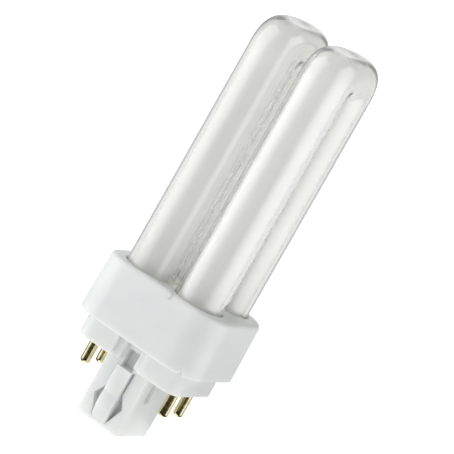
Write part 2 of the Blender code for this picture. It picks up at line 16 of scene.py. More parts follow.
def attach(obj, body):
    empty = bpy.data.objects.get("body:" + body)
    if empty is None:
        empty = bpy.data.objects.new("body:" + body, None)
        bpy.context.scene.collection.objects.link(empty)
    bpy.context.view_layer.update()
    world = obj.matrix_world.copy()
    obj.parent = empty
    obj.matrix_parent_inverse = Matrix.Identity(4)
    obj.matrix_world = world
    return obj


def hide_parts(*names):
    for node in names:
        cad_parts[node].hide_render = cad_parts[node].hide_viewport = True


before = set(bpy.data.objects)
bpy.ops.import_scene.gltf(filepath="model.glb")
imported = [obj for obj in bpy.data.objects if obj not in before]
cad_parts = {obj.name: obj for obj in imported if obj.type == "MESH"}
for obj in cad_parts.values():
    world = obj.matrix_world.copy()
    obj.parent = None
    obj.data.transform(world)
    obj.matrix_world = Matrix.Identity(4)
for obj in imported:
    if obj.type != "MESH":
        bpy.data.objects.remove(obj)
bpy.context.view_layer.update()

MM = 0.001
TURN = 2 * math.pi

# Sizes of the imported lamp, as its own source states them or works them out
POST_LENGTH = 16.0 * MM
PLATFORM_HEIGHT = 5.5 * MM
COLLAR_HEIGHT = 14.8 * MM
TUBE_HEIGHT = 65.1 * MM
TUBE_DIAMETER = 12.0 * MM
TUBE_GAP = 2.0 * MM
CROWN_HEIGHT = 11.0 * MM
CROWN_SQUARENESS = 3.0
CROWN_SECTION_SQUARENESS = 2.7
TUBE_INSET = 7.0 * MM
LEG_END_DEPTH = 4.0 * MM
BRIDGE_DIAMETER = 4.6 * MM
BRIDGE_RISE = 1.6 * MM
SEAL_WIDTH = 7.0 * MM
SEAL_THICKNESS = 2.6 * MM
SEAL_END_Z = 26.3 * MM
STUB_DIAMETER = 3.6 * MM
STUB_END_Z = 25.3 * MM
COLLAR_WIDTH = 33.6 * MM
COLLAR_DEPTH = 28.8 * MM
COLLAR_CORNER = 7.2 * MM
COLLAR_SHOULDER = 1.2 * MM
COLLAR_FLARE = 0.28 * MM
COLLAR_WALL = 1.4 * MM
COLLAR_TOP = 2.6 * MM
NOTCH_WIDTH = 1.3 * MM
NOTCH_HEIGHT = 1.2 * MM
NOTCH_TURN = math.radians(36)
NIB_X = 3.0 * MM
NIB_WIDTH = 1.5 * MM
NIB_DEPTH = 1.8 * MM
NIB_HEIGHT = 1.4 * MM
NIB_DROP = 0.3 * MM
PIN_DIAMETER = 2.35 * MM
PIN_PITCH_X = 23.0 * MM
PIN_PITCH_Y = 8.0 * MM
PIN_REACH = 6.8 * MM
PIN_TIP_ROUND = 0.8 * MM
PIN_HEAD_DIAMETER = 3.6 * MM
PIN_HEAD_HEIGHT = 0.8 * MM
PIN_NECK = 1.0 * MM
PIN_BORE = 1.3 * MM
PIN_BORE_FLOOR = 1.6 * MM
PIN_HEAD_Z = 24.2 * MM
FIT = 0.3 * MM

# Sizes that only the dressed lamp has
GLASS_WALL = 1.0 * MM
COAT_GAP = 0.05 * MM             # keeps the powder's face clear of the glass's inner face
DOME_START = 0.06                # share of the leg end's dome that is left flat at its pole
BRIDGE_FLARE = 0.9 * MM          # how much the glass bridge widens where it meets a leg
SEAL_SQUARENESS = 6
STUB_TIP = 0.4 * MM              # height of the exhaust stub's tapered tip
STUB_OVERLAP = 0.9 * MM          # how far the stub reaches into the leg's end
MOULD_EDGE = 0.14 * MM           # rounding of the moulded edges
RIM_EDGE = 0.2 * MM              # rounding of the collar's lower rim
SHARP_ANGLE = math.radians(32)   # edges that turn more than this are shaded sharp
ROUNDED_ANGLE = math.radians(30)  # edges of the pin base that turn more than this are rounded
FLAT_ANGLE = math.radians(0.5)   # faces of the pin base that turn less than this are merged
WELD_DISTANCE = 0.002 * MM

COLLAR_Z = POST_LENGTH + PLATFORM_HEIGHT
COLLAR_TOP_Z = COLLAR_Z + COLLAR_HEIGHT
TUBE_TOP_Z = COLLAR_TOP_Z + TUBE_HEIGHT
TUBE_RADIUS = TUBE_DIAMETER / 2
LEG_OFFSET = (TUBE_DIAMETER + TUBE_GAP) / 2
LEG_END_Z = COLLAR_TOP_Z - TUBE_INSET
BRIDGE_Z = COLLAR_TOP_Z + BRIDGE_RISE - BRIDGE_DIAMETER / 2

# How finely the pieces are divided
TUBE_SIDES = 72
CROWN_RINGS = 97
END_RINGS = 9
LEG_RINGS = 26
BRIDGE_RINGS = 25
SEAL_RINGS = 12
COLLAR_SIDES = 288
INNER_WALL_RINGS = 12
OUTER_WALL_RINGS = 26
SHOULDER_RINGS = 13
PIN_SIDES = 48
PIN_SHAFT_RINGS = 12
PIN_TIP_RINGS = 9
SMALL_SIDES = 32
SMALL_ROUND_RINGS = 5
BEVEL_STEPS = 2

# Colours, as linear red, green and blue
COLLAR_WHITE = (0.80, 0.815, 0.81)
COLLAR_CLOUD = (0.77, 0.785, 0.785)
BASE_WHITE = (0.81, 0.825, 0.82)
BASE_CLOUD = (0.78, 0.795, 0.79)
GLASS_TINT = (0.99, 0.992, 0.986)
POWDER_THICK = (0.97, 0.97, 0.955)
POWDER_THIN = (0.95, 0.952, 0.93)
POWDER_SPECK = (0.88, 0.885, 0.86)
OPAL_LIGHT = (0.84, 0.85, 0.80)
OPAL_DARK = (0.70, 0.71, 0.62)
BRASS_BRIGHT = (0.80, 0.72, 0.42)
BRASS_TARNISH = (0.58, 0.51, 0.27)
CEMENT_LIGHT = (0.62, 0.60, 0.55)
CEMENT_DARK = (0.50, 0.48, 0.44)
NICKEL_LIGHT = (0.62, 0.60, 0.56)
NICKEL_DARK = (0.45, 0.43, 0.40)
FLOOR_GREY = (0.8, 0.8, 0.8)

POWDER_THROUGH = 0.65            # share of the powder's light that passes through it

# The photograph's view
VIEW_AZIMUTH = math.radians(22.008)
VIEW_ELEVATION = math.radians(9.792)
VIEW_ROLL = math.radians(29.614)
VIEW_DISTANCE = 0.7262
VIEW_AIM = Vector((0.0, 0.0, 0.052))
VIEW_LIMIT = 20.0                # nothing farther than this is drawn
LENS_PIXELS = 3230.3             # focal length in the photograph's pixels
PHOTO_PIXELS = 454
PHOTO_OFFSET = (-5.249, 0.517)   # where the view's centre lies in the photograph, right and down
SENSOR = 36.0                    # Blender's sensor width in millimetres

# The tent that the gloss and the glass show, in degrees left or right of the camera
LEFT_BOX_RISE = (22, 72)
LEFT_BOX_FALL = (84, 128)
RIGHT_BOX_RISE = (14, 62)
RIGHT_BOX_FALL = (80, 125)
NEAR_BAND_RISE = (50, 80)
NEAR_BAND_FALL = (92, 122)
TENT_SIDE_RISE = (100, 135)
TENT_LINE_RISE = (146, 156)
TENT_LINE_FALL = (164, 174)
TENT_BACK_RISE = (160, 175)
TENT_SIDES = 180

# The tent's brightness there, where 1 is white
LEFT_BOX = 2.9
RIGHT_BOX = 3.1
TENT_FRONT = 0.32
TENT_SIDE = 0.84
TENT_LINE = 0.5                  # how much darker the line is that draws the outer edges
NEAR_BAND = 1.25                 # on the floor close to the lamp, where the pins mirror it
NEAR_REST = 0.03

# The tent's section: radius, height, then shares of the near band and the far tent, and the
# share of plain white that is added where it is seen through the glass
TENT_SECTION = (
    (0.017, FIT, 0.1, 0, 1),
    (0.032, FIT, 0.2, 0, 1),
    (0.045, FIT, 1, 0, 1),
    (0.09, FIT, 1, 0, 1),
    (0.14, FIT, 0, 1, 0),
    (0.2, FIT, 0, 1, 0),
    (0.2, 0.08, 0, 1, 0),
    (0.2, 0.13, 0, 0.8, 0),
    (0.2, 0.4, 0, 0.8, 0),
)

# The world, the floor and the fills, where 1 is white. SEEN is what the camera, gloss and
# glass show, and LIGHT is what lights matt surfaces.
WORLD_LIGHT = 0.63
WORLD_SEEN = 1.0
OVERHEAD_LIGHT = 0.55            # the world's share that is left overhead
OVERHEAD_RISE = (0.2, 0.85)      # heights on a unit sphere between which the world dims
FLOOR_LIGHT = 0.55
FLOOR_SEEN = 0.85
FLOOR_REACH = 3.0
FLOOR_ROUGHNESS = 0.9
FILLS = (                        # name, degrees right of the camera, distance, size, brightness
    ("left_fill", -92, 0.6, 0.8, 0.92),
    ("low_fill", -62, 0.35, 0.12, 1.7),
    ("right_fill", 75, 0.6, 0.8, 0.2),
    ("back_fill", 180, 1.0, 0.8, 1.7),
)


# Meshes

def ring_faces(rings):
    """Points and faces of a surface of closed rings, with a flat face at both ends."""
    count, around = rings.shape[:2]
    index = np.arange(count * around).reshape(count, around)
    lower, upper = index[:-1], index[1:]
    quads = np.stack([lower, np.roll(lower, -1, axis=1), np.roll(upper, -1, axis=1), upper], axis=-1)
    faces = quads.reshape(-1, 4).tolist()
    faces.append(index[0][::-1].tolist())
    faces.append(index[-1].tolist())
    return rings.reshape(-1, 3), faces


def mesh_of(name, lots):
    """One mesh from several lots of points and faces."""
    points = np.concatenate([lot[0] for lot in lots])
    starts = np.cumsum([0] + [len(lot[0]) for lot in lots[:-1]])
    faces = [[start + corner for corner in face] for start, lot in zip(starts, lots) for face in lot[1]]
    mesh = bpy.data.meshes.new(name)
    mesh.from_pydata(points.tolist(), [], faces)
    return mesh


def placed(name, data):
    """A new object in the scene."""
    made = bpy.data.objects.new(name, data)
    bpy.context.scene.collection.objects.link(made)
    return made


def smooth(mesh):
    """Shade a mesh smooth and keep its real edges sharp."""
    mesh.shade_smooth()
    mesh.set_sharp_from_angle(angle=SHARP_ANGLE)


def settle(mesh):
    """Point each shell's faces outwards and shade them."""
    bm = bmesh.new()
    bm.from_mesh(mesh)
    bmesh.ops.recalc_face_normals(bm, faces=bm.faces)
    bm.to_mesh(mesh)
    bm.free()
    smooth(mesh)


def dress(name, mesh, finish, slot, *nodes):
    """A piece of the lamp with its finish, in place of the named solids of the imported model."""
    made = placed(name, mesh)
    mesh.materials.clear()
    mesh.materials.append(finish)
    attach(made, "root")
    if nodes:
        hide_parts(*nodes)
    return made


def piece(name, lots, finish, slot, *nodes):
    """A piece straight from points and faces."""
    mesh = mesh_of(name, lots)
    settle(mesh)
    return dress(name, mesh, finish, slot, *nodes)


def shaped(mesh, steps):
    """The mesh after some modifiers, given as a kind and its settings."""
    body = placed(mesh.name, mesh)
    for kind, settings in steps:
        step = body.modifiers.new(kind.lower(), kind)
        for key, value in settings.items():
            setattr(step, key, value)
    graph = bpy.context.evaluated_depsgraph_get()
    made = bpy.data.meshes.new_from_object(body.evaluated_get(graph))
    bpy.data.objects.remove(body)
    return made


def without(mesh, cutters):
    """The mesh less each cutter, by exact Booleans."""
    tools = []
    steps = []
    for number, lots in enumerate(cutters):
        tool_mesh = mesh_of(f"cut_{number}", [lots])
        settle(tool_mesh)
        tool = placed(tool_mesh.name, tool_mesh)
        tools.append(tool)
        steps.append(("BOOLEAN", {"operation": "DIFFERENCE", "solver": "EXACT", "object": tool}))
    made = shaped(mesh, steps)
    for tool in tools:
        bpy.data.objects.remove(tool)
    return made


def circle(sides):
    """The two coordinates of points evenly spaced round a unit circle."""
    turn = np.linspace(0, TURN, sides, endpoint=False)
    return np.cos(turn), np.sin(turn)


def quarter(steps):
    """Angles over a quarter turn."""
    return np.linspace(0, TURN / 4, steps)


def smooth_rise(value, start, end):
    """0 up to start, 1 from end on, and a smooth step between them."""
    share = np.clip((value - start) / (end - start), 0, 1)
    return share * share * (3 - 2 * share)


def squared(along, across, power):
    """How far a unit squared oval reaches: (along^power + across^power)^(-1/power).

    Power 2 is a circle, and a higher one is squarer.
    """
    return (np.abs(along) ** power + np.abs(across) ** power) ** (-1 / power)


def turned(profile, centre, sides):
    """A turned body: a profile of radius and height carried round an upright axis."""
    radius, height = np.array(profile).T
    along, across = circle(sides)
    x = centre[0] + radius[:, None] * along
    y = centre[1] + radius[:, None] * across
    return np.stack([x, y, np.broadcast_to(height[:, None], x.shape)], axis=-1)


def outward_normals(rings):
    """Unit normals of a ring surface, from the cross product of its two directions."""
    onward = np.gradient(rings, axis=0)
    around = np.roll(rings, -1, axis=1) - np.roll(rings, 1, axis=1)
    normal = np.cross(around, onward)
    return normal / np.linalg.norm(normal, axis=-1, keepdims=True)


def u_tube(centre_x, inward=0.0):
    """Rings of one U tube, from the front leg's end over the crown to the rear leg's end.

    Legs are straight round tubes with domed ends. Over the crown each ring stands on a spoke
    of the fan round the crotch: its inner end is half a gap from the crotch, its outer end
    lies on a squared oval, and its outline grows squarer towards the top. inward moves the
    surface in along its own normals.
    """
    along, across = circle(TUBE_SIDES)
    angle = np.linspace(0, math.pi, CROWN_RINGS)[:, None]
    reach_x = np.cos(angle) / (TUBE_GAP / 2 + TUBE_DIAMETER)
    reach_z = np.sin(angle) / CROWN_HEIGHT
    half = (squared(reach_x, reach_z, CROWN_SQUARENESS) - TUBE_GAP / 2) / 2
    fullness = squared(along, across, 2 + (CROWN_SECTION_SQUARENESS - 2) * np.sin(angle) ** 2)
    spoke = TUBE_GAP / 2 + half + half * fullness * along
    x = centre_x + TUBE_RADIUS * fullness * across
    z = TUBE_TOP_Z - CROWN_HEIGHT + spoke * np.sin(angle)
    crown = np.stack([x, -spoke * np.cos(angle), z], axis=-1)
    rise = np.linspace(DOME_START, 1, END_RINGS) * math.pi / 2
    dome_z = LEG_END_Z + LEG_END_DEPTH * (1 - np.cos(rise))
    straight_z = np.linspace(dome_z[-1], TUBE_TOP_Z - CROWN_HEIGHT, LEG_RINGS)[1:-1]
    height = np.concatenate([dome_z, straight_z])
    shrink = np.concatenate([np.sin(rise), np.ones_like(straight_z)])
    legs = []
    for section, leg_y in ((crown[0], -LEG_OFFSET), (crown[-1], LEG_OFFSET)):
        middle = np.array([centre_x, leg_y])
        flat = middle + (section[:, :2] - middle) * shrink[:, None, None]
        tall = np.broadcast_to(height[:, None, None], flat.shape[:2] + (1,))
        legs.append(np.concatenate([flat, tall], axis=-1))
    rings = np.concatenate([legs[0], crown, legs[1][::-1]])
    return rings - inward * outward_normals(rings)


def outline(width, depth, corner, sides):
    """Points evenly spaced round a rectangle with round corners, and their outward directions."""
    straight_x, straight_y = width / 2 - corner, depth / 2 - corner
    arc = corner * TURN / 4
    lengths = np.array([2 * straight_y, arc, 2 * straight_x, arc] * 2)
    ends = np.cumsum(lengths)
    place = (np.arange(sides) + 0.5) / sides * ends[-1]
    part = np.searchsorted(ends, place)
    along = (place - (ends - lengths)[part]) / lengths[part]
    side, on_arc = part // 2, part % 2 == 1
    heading = (side + np.where(on_arc, along, 0)) * TURN / 4
    starts = np.array([[1, -1], [1, 1], [-1, 1], [-1, -1]]) * [straight_x, straight_y]
    finish = np.roll(starts, -1, axis=0)[side]
    centre = np.where(on_arc[:, None], finish, starts[side] + (finish - starts[side]) * along[:, None])
    outward = np.stack([np.cos(heading), np.sin(heading)], axis=-1)
    return centre + corner * outward, outward


# Pieces

def glass_pieces():
    """The clear walls and powder coats of both U tubes, the bridge, the seals and the stub."""
    walls = []
    coats = []
    for centre_x in (-LEG_OFFSET, LEG_OFFSET):
        walls.append(ring_faces(u_tube(centre_x)))
        walls.append(ring_faces(u_tube(centre_x, GLASS_WALL)[::-1]))
        coats.append(ring_faces(u_tube(centre_x, GLASS_WALL + COAT_GAP)))
    mesh = mesh_of("glass_wall", walls)
    mesh.shade_smooth()
    glass = dress("glass_wall", mesh, CLEAR_GLASS, "coated_glass", "discharge_tube")
    glass.visible_shadow = glass.visible_diffuse = False
    piece("powder_coat", coats, POWDER_COAT, "coated_glass")
    piece("glass_bridge", [ring_faces(bridge_rings())], OPAL_GLASS, "coated_glass")
    seals = [ring_faces(seal_rings(centre_x)) for centre_x in (-LEG_OFFSET, LEG_OFFSET)]
    stub = [
        (STUB_DIAMETER / 4, STUB_END_Z),
        (STUB_DIAMETER / 2, STUB_END_Z + STUB_TIP),
        (STUB_DIAMETER / 2, LEG_END_Z + STUB_OVERLAP),
    ]
    seals.append(ring_faces(turned(stub, (-LEG_OFFSET, -LEG_OFFSET), SMALL_SIDES)))
    piece("wire_seals", seals, OPAL_GLASS, "coated_glass")


def bridge_rings():
    """The glass bridge: a round bar along X that flares like a fillet into both front legs.

    Its length at each point of a ring ends on the legs' round walls, half a wall deep.
    """
    along, across = circle(SMALL_SIDES)
    place = np.linspace(-1, 1, BRIDGE_RINGS)[:, None]
    radius = BRIDGE_DIAMETER / 2 + BRIDGE_FLARE * (place ** 4 - 1)
    y = radius * along
    ends_in = np.sqrt((TUBE_RADIUS - GLASS_WALL / 2) ** 2 - y ** 2)
    x = place * (LEG_OFFSET - ends_in)
    return np.stack([x, y - LEG_OFFSET, BRIDGE_Z + radius * across], axis=-1)


def seal_rings(centre_x):
    """A pinched seal: from a flat rounded bar up to a round neck inside the leg's end."""
    along, across = circle(SMALL_SIDES)
    share = np.linspace(0, 1, SEAL_RINGS)[:, None]
    blend = smooth_rise(share, 0, 1)
    fullness = squared(along, across, SEAL_SQUARENESS + (2 - SEAL_SQUARENESS) * blend)
    half_x = SEAL_WIDTH / 2 + (STUB_DIAMETER / 2 - SEAL_WIDTH / 2) * blend
    half_y = SEAL_THICKNESS / 2 + (STUB_DIAMETER / 2 - SEAL_THICKNESS / 2) * blend
    x = centre_x + half_x * fullness * along
    z = np.broadcast_to(SEAL_END_Z + (LEG_END_Z + GLASS_WALL - SEAL_END_Z) * share, x.shape)
    return np.stack([x, LEG_OFFSET + half_y * fullness * across, z], axis=-1)


def collar_profile():
    """The collar's section as distance in from its outline, and height.

    It runs from the ceiling down the inner wall, round the lower rim, up the flared outside
    and over the quarter-round shoulder to the flat top.
    """
    low = COLLAR_Z + RIM_EDGE
    shoulder_z = COLLAR_TOP_Z - COLLAR_SHOULDER
    edge_in = RIM_EDGE - COLLAR_FLARE
    inner = [(COLLAR_WALL, z) for z in np.linspace(COLLAR_TOP_Z - COLLAR_TOP, low, INNER_WALL_RINGS)]
    rim_in = []
    rim_out = []
    for angle in quarter(SMALL_ROUND_RINGS):
        over, down = RIM_EDGE * (1 - math.cos(angle)), RIM_EDGE * (1 - math.sin(angle))
        rim_in.append((COLLAR_WALL - over, COLLAR_Z + down))
        rim_out.append((edge_in - RIM_EDGE * math.sin(angle), COLLAR_Z + over))
    outside = []
    for share in np.linspace(0, 1, OUTER_WALL_RINGS)[1:]:
        outside.append((-COLLAR_FLARE * (1 - share), low + (shoulder_z - low) * share))
    shoulder = []
    for angle in quarter(SHOULDER_RINGS)[1:]:
        inset = COLLAR_SHOULDER * (1 - math.cos(angle))
        shoulder.append((inset, shoulder_z + COLLAR_SHOULDER * math.sin(angle)))
    return np.array(inner + rim_in[1:] + rim_out + outside + shoulder)


def collar_rings():
    """The collar's surface: its section carried round the outline, with a vent notch at each corner.

    At one place round each corner the lower rim is lifted to a pointed notch, and the rings
    above it close up evenly below half height.
    """
    points, outward = outline(COLLAR_WIDTH, COLLAR_DEPTH, COLLAR_CORNER, COLLAR_SIDES)
    inset, height = collar_profile().T
    flat = points - inset[:, None, None] * outward
    turn = np.arctan2(np.abs(outward[:, 0]), np.abs(outward[:, 1]))
    from_notch = COLLAR_CORNER * np.abs(turn - NOTCH_TURN)
    lift = NOTCH_HEIGHT * np.clip(1 - from_notch / (NOTCH_WIDTH / 2), 0, 1)
    share = np.clip(1 - (height - COLLAR_Z) / (COLLAR_HEIGHT / 2), 0, 1)
    tall = height[:, None] + share[:, None] * lift
    return np.concatenate([flat, tall[..., None]], axis=-1)


def collar_piece():
    """The collar with its four seats and bridge slot, and the moulding nib on its shoulder.

    Each seat opens at 45 degrees over its last moulded edge, and its cutter goes on past the top.
    """
    seat = [
        (TUBE_RADIUS + FIT, COLLAR_TOP_Z - COLLAR_TOP - FIT),
        (TUBE_RADIUS + FIT, COLLAR_TOP_Z - MOULD_EDGE),
        (TUBE_RADIUS + FIT + 3 * MOULD_EDGE, COLLAR_TOP_Z + 2 * MOULD_EDGE),
    ]
    cutters = []
    for x in (-LEG_OFFSET, LEG_OFFSET):
        for y in (-LEG_OFFSET, LEG_OFFSET):
            cutters.append(ring_faces(turned(seat, (x, y), 2 * TUBE_SIDES)))
    half = BRIDGE_DIAMETER / 2 + FIT
    corner_x = np.array([-1, 1, 1, -1]) * LEG_OFFSET
    corner_y = -LEG_OFFSET + np.array([-1, -1, 1, 1]) * half
    levels = np.array([BRIDGE_Z - half, COLLAR_TOP_Z + COLLAR_SHOULDER])
    slot = np.stack([np.stack([corner_x, corner_y, np.full(4, z)], axis=-1) for z in levels])
    cutters.append(ring_faces(slot))
    body = mesh_of("collar_shell", [ring_faces(collar_rings())])
    settle(body)
    mesh = without(body, cutters)
    smooth(mesh)
    dress("collar_shell", mesh, WHITE_MOULDING, "white_moulding", "collar")
    piece("shoulder_nib", [ring_faces(nib_rings())], WHITE_MOULDING, "white_moulding")


def nib_rings():
    """The moulding nib: an oval bar on the front shoulder, rounded over at both ends."""
    along, across = circle(SMALL_SIDES)
    over = quarter(SMALL_ROUND_RINGS)
    inset = MOULD_EDGE * np.concatenate([1 - np.sin(over), 1 - np.cos(over)])[:, None]
    low, top = COLLAR_TOP_Z - NIB_DROP - NIB_HEIGHT, COLLAR_TOP_Z - NIB_DROP
    height = np.concatenate([low + MOULD_EDGE * (1 - np.cos(over)), top - MOULD_EDGE * (1 - np.sin(over))])
    x = NIB_X + (NIB_WIDTH / 2 - inset) * along
    y = (NIB_DEPTH / 2 - inset) * across - (COLLAR_DEPTH - COLLAR_SHOULDER) / 2
    return np.stack([x, y, np.broadcast_to(height[:, None], x.shape)], axis=-1)


def pin_base_piece():
    """The pin base's own solid, merged, with its moulded edges rounded."""
    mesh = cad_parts["pin_base"].data.copy()
    mesh.name = "pin_base_moulding"
    bm = bmesh.new()
    bm.from_mesh(mesh)
    bmesh.ops.remove_doubles(bm, verts=bm.verts, dist=WELD_DISTANCE)
    bmesh.ops.dissolve_limit(bm, angle_limit=FLAT_ANGLE, verts=bm.verts, edges=bm.edges)
    bmesh.ops.recalc_face_normals(bm, faces=bm.faces)
    bm.to_mesh(mesh)
    bm.free()
    rounding = {
        "width": MOULD_EDGE,
        "segments": BEVEL_STEPS,
        "limit_method": "ANGLE",
        "angle_limit": ROUNDED_ANGLE,
        "harden_normals": True,
        "use_clamp_overlap": True,
    }
    mesh.shade_smooth()
    made = shaped(mesh, [("BEVEL", rounding)])
    dress("pin_base_moulding", made, BASE_MOULDING, "white_moulding", "pin_base")


def pin_profile():
    """Half section of a contact pin, as radius and height.

    It runs from the bore's floor up the bore, over the neck and the head, and down to the tip.
    """
    radius, bore, head = PIN_DIAMETER / 2, PIN_BORE / 2, PIN_HEAD_DIAMETER / 2
    tip_z = POST_LENGTH - PIN_REACH
    floor_z = tip_z + PIN_BORE_FLOOR
    head_top = PIN_HEAD_Z + PIN_HEAD_HEIGHT
    neck_top = head_top + PIN_NECK
    profile = [(bore / 2, floor_z), (bore, floor_z), (bore, neck_top), (radius, neck_top)]
    profile += [(radius, head_top), (head, head_top), (head, PIN_HEAD_Z), (radius, PIN_HEAD_Z)]
    for z in np.linspace(POST_LENGTH, tip_z + PIN_TIP_ROUND, PIN_SHAFT_RINGS):
        profile.append((radius, z))
    for angle in quarter(PIN_TIP_RINGS)[1:]:
        tip_radius = radius - PIN_TIP_ROUND * (1 - math.cos(angle))
        profile.append((tip_radius, tip_z + PIN_TIP_ROUND * (1 - math.sin(angle))))
    return profile


def contact_pins():
    """Four turned brass pins."""
    corners = ((-1, -1), (1, -1), (1, 1), (-1, 1))
    for number, (side_x, side_y) in enumerate(corners, 1):
        centre = (side_x * PIN_PITCH_X / 2, side_y * PIN_PITCH_Y / 2)
        rings = turned(pin_profile(), centre, PIN_SIDES)
        piece(f"brass_pin_{number}", [ring_faces(rings)], BRASS, "pin_brass", f"contact_pin_{number}")


def inner_pieces():
    """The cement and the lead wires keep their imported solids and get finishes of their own."""
    finishes = {"tube_cement": CEMENT}
    for number in range(1, 5):
        finishes[f"lead_wire_{number}"] = WIRE
    for name, finish in finishes.items():
        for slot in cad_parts[name].material_slots:
            slot.material = finish


# Finishes

def shader_group(name, inputs, outputs):
    """An empty node group with named sockets, given as name, kind and default value."""
    tree = bpy.data.node_groups.new(name, "ShaderNodeTree")
    for label, kind, value in inputs:
        socket = tree.interface.new_socket(label, in_out="INPUT", socket_type=kind)
        socket.default_value = value
    for label, kind in outputs:
        tree.interface.new_socket(label, in_out="OUTPUT", socket_type=kind)
    return tree, tree.nodes.new("NodeGroupInput"), tree.nodes.new("NodeGroupOutput")


def feed(tree, target, value):
    """Link a socket to an input, or set the input. A colour is given as red, green and blue."""
    if isinstance(value, bpy.types.NodeSocket):
        tree.links.new(value, target)
    elif target.type == "RGBA":
        target.default_value = (*value, 1.0)
    else:
        target.default_value = value


def node(tree, kind, inputs=None, **settings):
    """A node with its settings, and with its inputs, by name or number, linked or set."""
    made = tree.nodes.new(kind)
    for key, value in settings.items():
        setattr(made, key, value)
    for place, value in (inputs or {}).items():
        feed(tree, made.inputs[place], value)
    return made


def combine(tree, operation, first, second):
    """One value from two, by an operation of the Math node."""
    return node(tree, "ShaderNodeMath", {0: first, 1: second}, operation=operation).outputs[0]


def noise(tree, vector, scale, detail=2.0):
    """A noise texture's value. scale is in cells to a metre."""
    inputs = {"Vector": vector, "Scale": scale, "Detail": detail}
    return node(tree, "ShaderNodeTexNoise", inputs).outputs["Fac"]


def spread(tree, value, low, high, start=0.0, end=1.0):
    """A value from the range low to high, mapped to start to end."""
    inputs = {"Value": value, "From Min": low, "From Max": high, "To Min": start, "To Max": end}
    return node(tree, "ShaderNodeMapRange", inputs).outputs["Result"]


def colour_mix(tree, share, first, second):
    """A mix of two colours. In a colour Mix node they are inputs 6 and 7, and the result is output 2."""
    return node(tree, "ShaderNodeMix", {"Factor": share, 6: first, 7: second}, data_type="RGBA").outputs[2]


def object_place(tree, stretch=(1.0, 1.0, 1.0)):
    """The surface point in the piece's own coordinates, scaled along the axes."""
    place = node(tree, "ShaderNodeTexCoord").outputs["Object"]
    return node(tree, "ShaderNodeMapping", {"Vector": place, "Scale": stretch}).outputs["Vector"]


def bump(tree, shader, height, distance, strength):
    """Fine relief on a shader's surface."""
    inputs = {"Height": height, "Distance": distance, "Strength": strength}
    made = node(tree, "ShaderNodeBump", inputs)
    tree.links.new(made.outputs["Normal"], shader.inputs["Normal"])


def show(tree, shader):
    """Use a shader node as the material's surface."""
    tree.links.new(shader.outputs[0], tree.nodes["Material Output"].inputs["Surface"])


def new_finish(name, roughness=0.4, **values):
    """A material whose Principled shader has these values, named as its inputs are."""
    made = bpy.data.materials.new(name)
    made.use_nodes = True
    tree = made.node_tree
    shader = tree.nodes["Principled BSDF"]
    shader.inputs["Roughness"].default_value = roughness
    for key, value in values.items():
        feed(tree, shader.inputs[key.replace("_", " ").title()], value)
    return made, tree, shader


def moulded_skin():
    """Group: clouded colour, fine spark texture and uneven gloss of a moulded plastic."""
    tree, given, out = shader_group(
        "moulded_skin",
        [
            ("Colour", "NodeSocketColor", (0.8, 0.8, 0.8, 1.0)),
            ("Cloud Colour", "NodeSocketColor", (0.75, 0.75, 0.75, 1.0)),
            ("Gloss Low", "NodeSocketFloat", 0.3),
            ("Gloss High", "NodeSocketFloat", 0.45),
        ],
        [("Colour", "NodeSocketColor"), ("Roughness", "NodeSocketFloat"), ("Height", "NodeSocketFloat")],
    )
    place = object_place(tree)
    clouds = noise(tree, place, scale=140.0, detail=3.0)
    grain = noise(tree, place, scale=5200.0)
    flow = noise(tree, object_place(tree, (1.0, 1.0, 0.25)), scale=900.0)
    plain, clouded = given.outputs["Colour"], given.outputs["Cloud Colour"]
    smoothest, roughest = given.outputs["Gloss Low"], given.outputs["Gloss High"]
    results = {
        "Colour": colour_mix(tree, spread(tree, clouds, 0.35, 0.7), plain, clouded),
        "Roughness": spread(tree, flow, 0.3, 0.7, smoothest, roughest),
        "Height": combine(tree, "ADD", grain, flow),
    }
    for label, result in results.items():
        tree.links.new(result, out.inputs[label])
    return tree


def moulding(name, colour, cloud_colour, gloss_low, gloss_high):
    """A white moulded plastic from the shared skin, with a little light inside it."""
    made, tree, shader = new_finish(name, subsurface_weight=0.9, subsurface_scale=1.8 * MM)
    shader.inputs["Subsurface Radius"].default_value = (1.0, 0.95, 0.85)
    inputs = {
        "Colour": colour,
        "Cloud Colour": cloud_colour,
        "Gloss Low": gloss_low,
        "Gloss High": gloss_high,
    }
    skin = node(tree, "ShaderNodeGroup", inputs, node_tree=MOULDED_SKIN)
    tree.links.new(skin.outputs["Colour"], shader.inputs["Base Color"])
    tree.links.new(skin.outputs["Roughness"], shader.inputs["Roughness"])
    bump(tree, shader, skin.outputs["Height"], distance=0.012 * MM, strength=0.5)
    return made


def clear_glass():
    """Clear drawn glass with faint drawing lines."""
    made, tree, shader = new_finish("clear_glass", 0.0, transmission_weight=1.0, base_color=GLASS_TINT)
    shader.inputs["IOR"].default_value = 1.5
    lines = noise(tree, object_place(tree, (1.0, 1.0, 0.04)), scale=420.0, detail=1.0)
    bump(tree, shader, lines, distance=0.05 * MM, strength=0.05)
    return made


def powder_coat():
    """The white powder inside the glass: slightly uneven, thinner and greyer in patches."""
    made, tree, shader = new_finish("powder_coat", 0.85)
    along = noise(tree, object_place(tree, (1.0, 1.0, 0.3)), scale=260.0, detail=3.0)
    grain = noise(tree, object_place(tree), scale=3800.0)
    coat = colour_mix(tree, spread(tree, along, 0.35, 0.7), POWDER_THICK, POWDER_THIN)
    colour = colour_mix(tree, spread(tree, grain, 0.62, 0.8), coat, POWDER_SPECK)
    tree.links.new(colour, shader.inputs["Base Color"])
    bump(tree, shader, grain, distance=0.01 * MM, strength=0.5)
    through = node(tree, "ShaderNodeBsdfTranslucent", {"Color": colour})
    parts = {0: POWDER_THROUGH, 1: shader.outputs["BSDF"], 2: through.outputs["BSDF"]}
    show(tree, node(tree, "ShaderNodeMixShader", parts))
    return made


